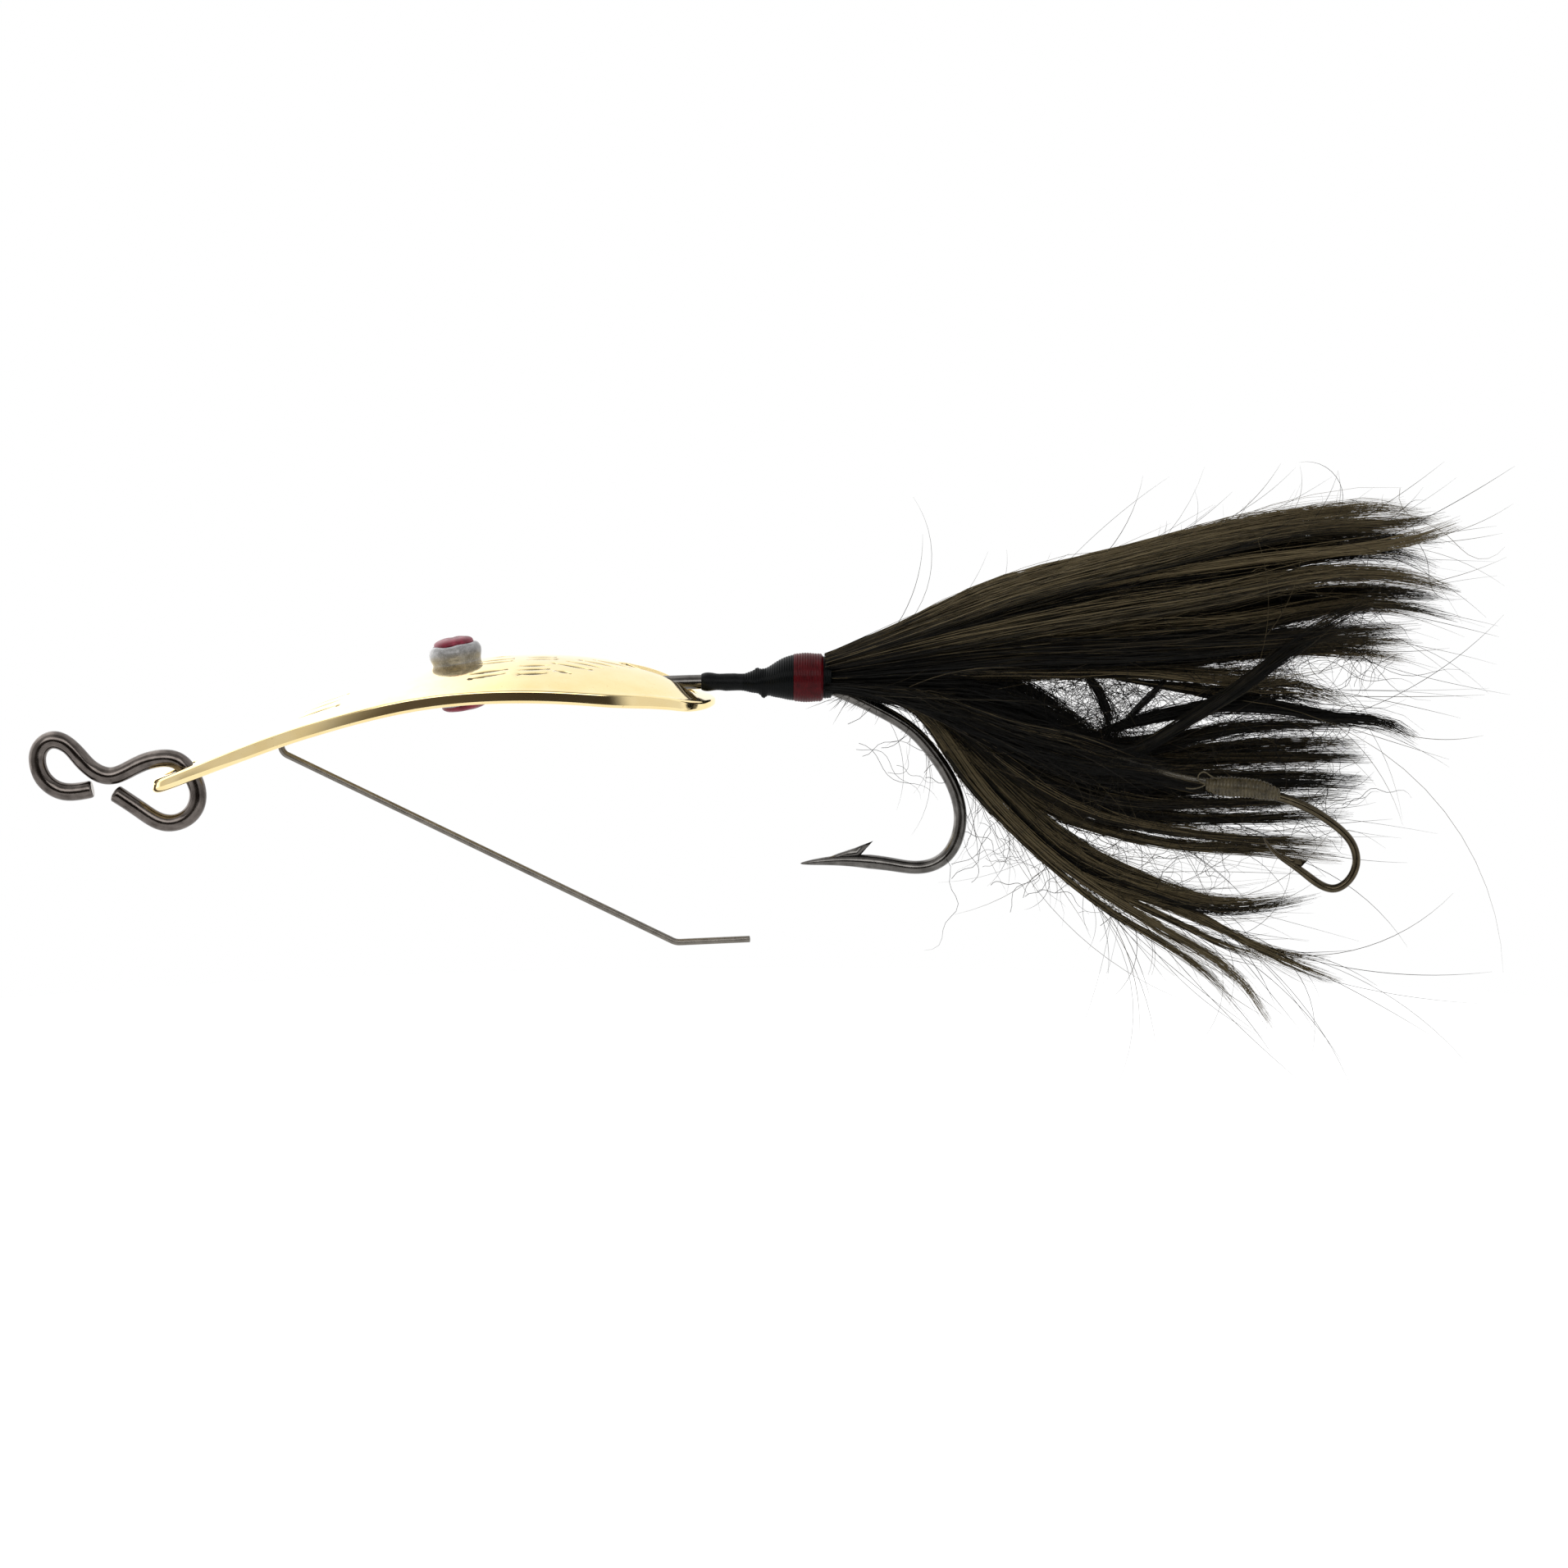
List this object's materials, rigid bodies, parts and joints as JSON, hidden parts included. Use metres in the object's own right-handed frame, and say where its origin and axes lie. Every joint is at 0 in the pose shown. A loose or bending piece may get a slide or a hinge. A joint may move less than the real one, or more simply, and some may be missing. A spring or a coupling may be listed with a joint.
{
  "type": "weedless spoon lure",
  "caption": "Dished brass spoon lure with a wire snap link, riveted eye studs, fixed main hook, spring wire weed guard, hair tail and a trailing hook on a leader.",
  "frame": {"origin": "middle of the snap link's closed line-tie eye", "axes": "+X from the line tie to the tail, +Y across the blade, +Z out of the blade's convex side; Y = 0 is the plane of the main hook"},
  "size_m": [0.1465, 0.0224, 0.0548],
  "materials": {
    "gold_plate": "polished plated brass",
    "dark_steel_wire": "dark bronzed steel wire",
    "rivet_brass": "plain brass",
    "pearl_paint": "pearl silver lacquer",
    "red_paint": "red lacquer",
    "hook_steel": "bronzed hook steel",
    "black_tube": "satin shrink tube",
    "black_thread": "lacquered thread",
    "red_thread": "lacquered thread",
    "olive_hair": "dark olive brown hair",
    "mono": "translucent monofilament",
    "snell_thread": "varnished thread",
    "trailer_steel": "bronzed fine hook steel"
  },
  "bodies": {
    "lure": {"blade": "gold_plate", "rivet_pin": "rivet_brass", "top_eye_ring": "pearl_paint", "top_eye_pupil": "red_paint", "bottom_eye_ring": "pearl_paint", "bottom_eye_pupil": "red_paint", "main_hook": "hook_steel", "guard_anchor": "dark_steel_wire", "shank_sleeve": "black_tube", "head_wrap": "black_thread", "red_band": "red_thread", "collar_wrap": "black_thread", "hair_root": "olive_hair", "crown_lock": "olive_hair", "upper_lock": "olive_hair", "second_lock": "olive_hair", "droop_lock": "olive_hair", "lower_lock": "olive_hair", "fringe_lock": "olive_hair", "belly_lock": "olive_hair", "long_wisp": "olive_hair", "short_wisp": "olive_hair", "leader_root": "mono"},
    "snap": {"snap_link": "dark_steel_wire"},
    "guard": {"guard_arm": "dark_steel_wire"},
    "trailer": {"leader_end": "mono", "trailer_snell": "snell_thread", "trailer_hook": "trailer_steel"}
  },
  "joints": [
    {"name": "snap_swing", "type": "hinge", "parent": "lure", "child": "snap", "pos_m": [0.0123, 0, -0.0005], "axis": [0, 1, 0], "range_deg": [-16, 20]},
    {"name": "guard_spring", "type": "hinge", "parent": "lure", "child": "guard", "pos_m": [0.0232, 0, 0.0021], "axis": [0, -1, 0], "range_deg": [0, 20], "stiffness_Nm_per_rad": 0.05},
    {"name": "trailer_flex", "type": "hinge", "parent": "lure", "child": "trailer", "pos_m": [0.1099, -0.003, 0.00024], "axis": [0, -1, 0], "range_deg": [-12, 12], "stiffness_Nm_per_rad": 0.004}
  ]
}
